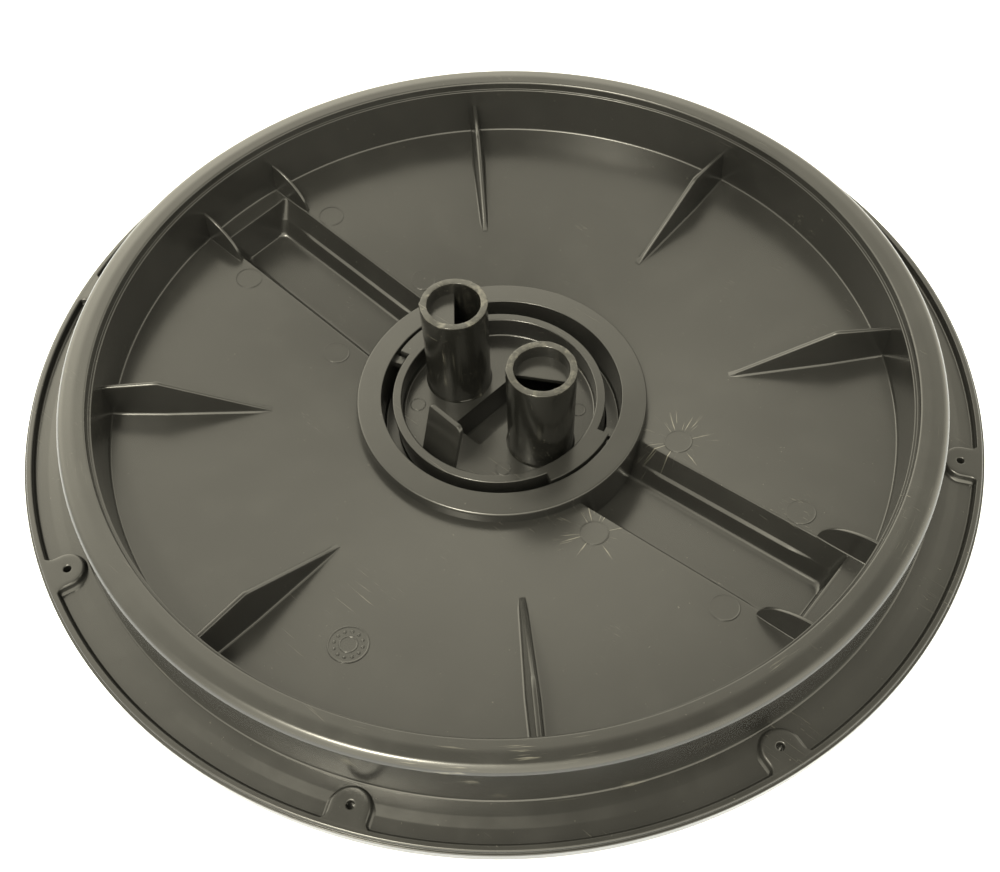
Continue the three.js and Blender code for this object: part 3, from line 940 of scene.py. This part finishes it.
class MakeHubCollar(bpy.types.Operator):
    """Make the hub's collar, its stop blocks and the hidden tabs that hold the cap"""

    bl_idname = "deck.hub_collar"
    bl_label = "Hub collar"

    def execute(self, context):
        edge = sizes().edge_radius / MM
        seat = CAP_OUTER_RADIUS + GAP
        outline = rounded([
            (COLLAR_RADIUS, COLLAR_BOTTOM, 0.5),
            (COLLAR_RADIUS, COLLAR_TOP, 1.1),
            (COLLAR_INNER_RADIUS, COLLAR_TOP, edge * 0.7),
            (COLLAR_INNER_RADIUS, SEAT_TOP, 0.8),
            (seat, SEAT_TOP, 0.4),
            (seat, SEAT_TOP - WALL, 0.4),
            (COLLAR_INNER_RADIUS + WALL, SEAT_TOP - WALL, 0.5),
            (COLLAR_INNER_RADIUS + WALL, COLLAR_TOP - WALL, 1.0),
            (COLLAR_RADIUS - WALL, COLLAR_TOP - WALL, 1.0),
            (COLLAR_RADIUS - WALL, COLLAR_BOTTOM, 0.5),
        ])
        build = Build()
        build.turn(outline, HUB_STEPS)
        bayonet(build, STOP_BLOCK, HOLDING_TAB)
        place(build.finish("collar"), "deck", material("deck"), ["hub_collar"])
        return {"FINISHED"}


def rectangle_loop(half_x, half_y, radius, height, steps=6):
    """Level loop of a rectangle with round corners."""
    outline = []
    for side_x, side_y, start in ((1, 1, 0), (-1, 1, 90), (-1, -1, 180), (1, -1, 270)):
        centre = (side_x * (half_x - radius), side_y * (half_y - radius))
        outline += arc(centre, radius, start, start + 90, steps)
    return [(x, y, height) for x, y in outline]


def cut(piece, cutter):
    """Takes the cutter's shape out of the piece for good."""
    modifier = piece.modifiers.new("Cut", "BOOLEAN")
    modifier.operation = "DIFFERENCE"
    modifier.solver = "EXACT"
    modifier.object = cutter
    bake(piece)
    bpy.data.objects.remove(cutter)


class MakeLockCap(bpy.types.Operator):
    """Make the turning cap: its ring with two bayonet lugs, its floor and its flange"""

    bl_idname = "deck.lock_cap"
    bl_label = "Lock cap"

    def execute(self, context):
        recess = CAP_INNER_RADIUS + 1.0
        flange_top = SEAT_TOP - WALL - GAP
        outline = rounded([
            (0, CAP_FLOOR_TOP - WALL, 0),
            (recess, CAP_FLOOR_TOP - WALL, 1.2),
            (recess, CAP_BOTTOM, 0.8),
            (CAP_FLANGE_RADIUS, CAP_BOTTOM, 0.8),
            (CAP_FLANGE_RADIUS, flange_top, 0.6),
            (CAP_OUTER_RADIUS, flange_top, 0.5),
            (CAP_OUTER_RADIUS, COLLAR_TOP, 0.5),
            (CAP_INNER_RADIUS, COLLAR_TOP, 0.6),
            (CAP_INNER_RADIUS, CAP_FLOOR_TOP, 0.9),
            (0, CAP_FLOOR_TOP, 0),
        ], closed=False)
        build = Build()
        build.turn(outline, HUB_STEPS, closed=False)
        # The cap has play in its seat: above the seat it lies as far off the hub's centre as its tubes.
        build.vertices = [(x + FITTING_CENTRE.x, y + FITTING_CENTRE.y, z) if z > SEAT_TOP else (x, y, z)
                          for x, y, z in build.vertices]
        piece = build.finish("cap_cup")
        cut_levels = (CAP_FLOOR_TOP - 2 * WALL, CAP_FLOOR_TOP + WALL)
        for centre in TUBE_CENTRE.values():
            bore = Build()
            bore.rod(TUBE_INNER_RADIUS, *cut_levels, TUBE_STEPS)
            cut(piece, bore.finish("bore_cutter", origin=centre))
        slot = Build()
        slot.loft([slot.row(rectangle_loop(*SLOT_HALF, 1.0, height)) for height in cut_levels])
        cut(piece, slot.finish("slot_cutter", CAP_ANGLE, FITTING_CENTRE))
        place(piece, "cap", material("cap"), ["lock_cap"])
        marks = Build()
        for radius, angle in CAP_EJECTOR_PLACES:
            shallow_disc(marks, polar(radius, angle), CAP_EJECTOR_LEVELS,
                         ground=lambda x, y: CAP_FLOOR_TOP, steps=HOLE_STEPS)
        place(marks.finish("cap_ejector_marks", crease=70), "cap", material("cap"), [])
        lugs = Build()
        bayonet(lugs, BAYONET_LUG)
        place(lugs.finish("bayonet_lugs"), "cap", material("cap"), [])
        return {"FINISHED"}


class MakeGripBar(bpy.types.Operator):
    """Make the hollow bar that the cap is turned by"""

    bl_idname = "deck.grip_bar"
    bl_label = "Grip bar"

    def execute(self, context):
        top = CAP_FLOOR_TOP - 0.5
        outer = (SLOT_HALF[0] + GRIP_WALL, SLOT_HALF[1] + GRIP_WALL)
        build = Build()
        rows = []
        for inset, height in ((0, top), (0.6, GRIP_BOTTOM + 1.6),
                              (0.9, GRIP_BOTTOM + 0.6), (1.6, GRIP_BOTTOM)):
            rows.append(build.row(rectangle_loop(outer[0] - inset, outer[1] - inset, 4.0, height)))
        build.bridge(rows, loop_rows=True)
        build.cap(rows[-1])
        inside = []
        for inset, height in ((0, top), (0.0, CAP_FLOOR_TOP - 1.0), (0.5, GRIP_BOTTOM + GRIP_WALL + 0.8),
                              (1.3, GRIP_BOTTOM + GRIP_WALL)):
            inside.append(build.row(rectangle_loop(SLOT_HALF[0] - inset, SLOT_HALF[1] - inset, 1.5, height)))
        build.bridge(inside, loop_rows=True)
        build.cap(inside[-1])
        build.bridge([rows[0], inside[0]], loop_rows=True)
        piece = build.finish("grip_bar_shell", CAP_ANGLE, FITTING_CENTRE)
        place(piece, "cap", material("cap"), ["grip_bar"])
        return {"FINISHED"}


def divided(outline, longest):
    """The closed outline with extra points, none further apart than longest."""
    points = []
    for start, finish in zip(outline, outline[1:] + outline[:1]):
        parts = max(1, math.ceil((finish - start).length / longest))
        points.extend(start.lerp(finish, k / parts) for k in range(parts))
    return points


def ragged_end(seed):
    """Moves a tube's points: a chewed rim, flash left along one side, and a slightly wavy wall."""
    flash_angle = math.radians(222)

    def roughen(angle, radius, height):
        around = Vector((math.cos(angle) * 4, math.sin(angle) * 4, seed))
        near_rim = max(0.0, 1 - (TUBE_TOP - height) / 1.6)
        chewed = noise.noise(around * 0.5) + 0.4 * noise.noise(Vector((around.x, around.y, radius)) * 1.3)
        height += near_rim * (0.2 * chewed - 0.12)
        outwards = 1 if radius > (TUBE_RADIUS + TUBE_INNER_RADIUS) / 2 else -1
        radius += outwards * near_rim * 0.3 * max(0.0, noise.noise(around * 0.9 + Vector((0, 0, 5))))
        if outwards > 0:
            away = math.atan2(math.sin(angle - flash_angle), math.cos(angle - flash_angle))
            seam = math.exp(-(away / 0.09) ** 2) * max(0.0, 1 - (TUBE_TOP - height) / 22)
            lumps = noise.noise(Vector((angle * 3, height * 0.7, seed + 3)))
            radius += seam * (0.35 + 0.5 * lumps)
            radius += 0.05 * noise.noise(Vector((around.x, around.y, height * 0.15)))
        return radius, min(height, TUBE_TOP)

    return roughen


class MakeStubTubes(bpy.types.Operator):
    """Make the two stub tubes, cut off roughly at the top"""

    bl_idname = "deck.stub_tubes"
    bl_label = "Stub tubes"

    def execute(self, context):
        for number, (label, centre) in enumerate(TUBE_CENTRE.items()):
            foot = CAP_FLOOR_TOP
            outline = rounded([
                (TUBE_RADIUS + 0.8, foot - 0.2, 0),
                (TUBE_RADIUS, foot + 0.8, 0.6),
                (TUBE_RADIUS, TUBE_TOP, 0.35),
                (TUBE_INNER_RADIUS, TUBE_TOP, 0.35),
                (TUBE_INNER_RADIUS, foot - WALL, 0),
                (TUBE_RADIUS, foot - WALL + 0.1, 0),
            ], steps=3)
            build = Build()
            build.turn(divided(outline, 1.2), 2 * TUBE_STEPS, roughen=ragged_end(number * 7.0))
            piece = build.finish(f"tube_{label}", origin=centre, crease=60)
            place(piece, "cap", material("tube"), [f"stub_tube_{label}"])
        return {"FINISHED"}


class MakeTubeShelves(bpy.types.Operator):
    """Make the half-moon shelves inside the stub tubes"""

    bl_idname = "deck.tube_shelves"
    bl_label = "Tube shelves"

    def execute(self, context):
        # The shelf's round edge runs a little into the tube's wall.
        radius = TUBE_INNER_RADIUS + 0.3
        half_moon = arc((0, 0), radius, -90, 90, SHELF_STEPS)
        for label, angle in SHELF_ANGLES.items():
            top = top_of(f"tube_shelf_{label}")
            bottom = bottom_of(f"tube_shelf_{label}")
            build = Build()
            rows = []
            for inset, height in ((0.2, bottom), (0, bottom + 0.2), (0, top - 0.3),
                                  (0.1, top - 0.1), (0.3, top)):
                rows.append(build.row([(max(x, inset), y, height) for x, y in half_moon]))
            build.loft(rows)
            piece = build.finish(f"shelf_{label}", angle, TUBE_CENTRE[label])
            place(piece, "cap", material("cap"), [f"tube_shelf_{label}"])
        return {"FINISHED"}


class MakeLatchTongue(bpy.types.Operator):
    """Make the spring tongue that stands in the cap"""

    bl_idname = "deck.latch_tongue"
    bl_label = "Latch tongue"

    def execute(self, context):
        left, right = TONGUE_CENTRE - TONGUE_WIDTH / 2, TONGUE_CENTRE + TONGUE_WIDTH / 2
        foot, top = bottom_of("latch_tongue"), top_of("latch_tongue")
        front = TONGUE_FOOT - TONGUE_THICKNESS / 2
        back = TONGUE_FOOT + TONGUE_THICKNESS / 2
        build = Build()
        rows = []
        edge = 0.35
        for inset, depth in ((edge, front), (0.1, front + 0.12), (0, front + edge),
                             (0, back - edge), (0.1, back - 0.12), (edge, back)):
            outline = rounded([
                (left + inset, foot, 0), (right - inset, foot, 0),
                (right - inset, top - inset, 2.8), (left + inset, top - inset, 1.2),
            ])
            rows.append(build.row([(x, depth + TONGUE_LEAN * (z - foot) / (top - foot), z)
                                   for x, z in outline]))
        build.loft(rows)
        place(build.finish("tongue", CAP_ANGLE), "latch", material("cap"), ["latch_tongue"])
        return {"FINISHED"}


def direction(azimuth, elevation):
    """Unit vector for an azimuth from +X and an elevation, both in degrees."""
    around, up = math.radians(azimuth), math.radians(elevation)
    return Vector((math.cos(around) * math.cos(up), math.sin(around) * math.cos(up), math.sin(up)))


# Soft sides of the studio: (azimuth, elevation, tightness, strength)
SOFT_SIDES = (
    (150, 0, 2.0, 2.8),
    (150, 35, 8.0, 2.5),
    (190, 30, 8.0, 3.2),
    (60, 0, 2.0, 3.4),
    (10, 20, 4.0, 1.2),
    (-60, 0, 1.0, 5.0),
    (-80, 62, 14.0, 5.0),
)


def studio_world(stage):
    """Surroundings that are bright in a few broad, soft patches."""
    world = bpy.data.worlds.new("Studio")
    nodes = Nodes(world, "Generated")
    total = 0.0
    for azimuth, elevation, tightness, strength in SOFT_SIDES:
        middle = direction(azimuth, elevation)
        towards = nodes.vector("DOT_PRODUCT", nodes.coordinates, middle, output="Value")
        patch = nodes.math("POWER", nodes.math("MAXIMUM", towards, 0.0), tightness)
        total = nodes.math("MULTIPLY_ADD", patch, strength * stage.light_strength, total)
    background = nodes.tree.nodes["Background"]
    nodes.feed(background.inputs["Color"], (*stage.light_colour, 1))
    nodes.feed(background.inputs["Strength"], total)
    return world


def soft_light(name, power, size, location):
    """Round lamp that faces the object."""
    light = bpy.data.lights.new(name, "AREA")
    light.shape = "DISK"
    light.size = size
    light.energy = power
    light.color = bpy.context.scene.deck_stage.light_colour
    lamp = bpy.data.objects.new(name, light)
    lamp.location = location
    lamp.rotation_euler = (-lamp.location).to_track_quat("-Z", "Y").to_euler()
    bpy.context.scene.collection.objects.link(lamp)


class MakeStage(bpy.types.Operator):
    """Make the pale floor, the soft surroundings, the overhead light and the camera"""

    bl_idname = "deck.stage"
    bl_label = "Stage"

    def execute(self, context):
        stage = context.scene.deck_stage
        # The floor lies just under the face that the deck rests on.
        bpy.ops.mesh.primitive_circle_add(vertices=stage.floor_segments, radius=STAGE_RADIUS,
                                          fill_type="NGON", location=(0, 0, CAD_BOX[0].z - 0.0002))
        ground = context.active_object
        ground.name = "floor"
        paint = bpy.data.materials.new("Pale floor")
        paint.use_nodes = True
        shader = paint.node_tree.nodes["Principled BSDF"]
        shader.inputs["Base Color"].default_value = (*stage.floor_colour, 1)
        shader.inputs["Roughness"].default_value = 0.9
        ground.data.materials.append(paint)
        context.scene.world = studio_world(stage)
        soft_light("Overhead light", stage.overhead_power, OVERHEAD_WIDTH,
                   direction(*OVERHEAD_DIRECTION) * OVERHEAD_DISTANCE)
        camera = bpy.data.cameras.new("Camera")
        camera.sensor_width = SENSOR_WIDTH
        camera.lens = stage.lens
        eye = bpy.data.objects.new("Camera", camera)
        eye.location = (CAMERA_PLACE + Vector((0, 0, DATUM))) * MM
        look = (CAMERA_AIM - CAMERA_PLACE).to_track_quat("-Z", "Y")
        roll = Matrix.Rotation(math.radians(CAMERA_ROLL), 4, "Z").to_quaternion()
        eye.rotation_mode = "QUATERNION"
        eye.rotation_quaternion = look @ roll
        context.scene.collection.objects.link(eye)
        context.scene.camera = eye
        context.scene.view_settings.view_transform = "Standard"
        return {"FINISHED"}


class DeckPanel(bpy.types.Panel):
    """Lists the deck's settings and its pieces"""

    bl_label = "Surface cleaner deck"
    bl_idname = "VIEW3D_PT_surface_cleaner_deck"
    bl_space_type = "VIEW_3D"
    bl_region_type = "UI"
    bl_category = "Surface cleaner"

    def draw(self, context):
        for group in (context.scene.deck_sizes, context.scene.deck_finish, context.scene.deck_stage):
            column = self.layout.column()
            for name in group.__annotations__:
                column.prop(group, name)
        for maker in MAKERS:
            self.layout.operator(maker.bl_idname)


GROUPS = {"deck_sizes": DeckSizes, "deck_finish": DeckFinish, "deck_stage": DeckStage}
MAKERS = (
    MakeRingWall, MakeFlange, MakeScrewLugs, MakeFloor, MakeFloorMarks, MakeTroughs, MakeGussets,
    MakeTroughFins, MakeHubCollar, MakeLockCap, MakeGripBar, MakeStubTubes, MakeTubeShelves,
    MakeLatchTongue, MakeStage,
)


def register():
    for group in GROUPS.values():
        bpy.utils.register_class(group)
    for name, group in GROUPS.items():
        setattr(bpy.types.Scene, name, PointerProperty(type=group))
    for maker in MAKERS:
        bpy.utils.register_class(maker)
    bpy.utils.register_class(DeckPanel)


def unregister():
    bpy.utils.unregister_class(DeckPanel)
    for maker in reversed(MAKERS):
        bpy.utils.unregister_class(maker)
    for name in GROUPS:
        delattr(bpy.types.Scene, name)
    for group in reversed(list(GROUPS.values())):
        bpy.utils.unregister_class(group)


def main():
    register()
    for maker in MAKERS:
        space, name = maker.bl_idname.split(".")
        getattr(getattr(bpy.ops, space), name)()


if __name__ == "__main__":
    main()
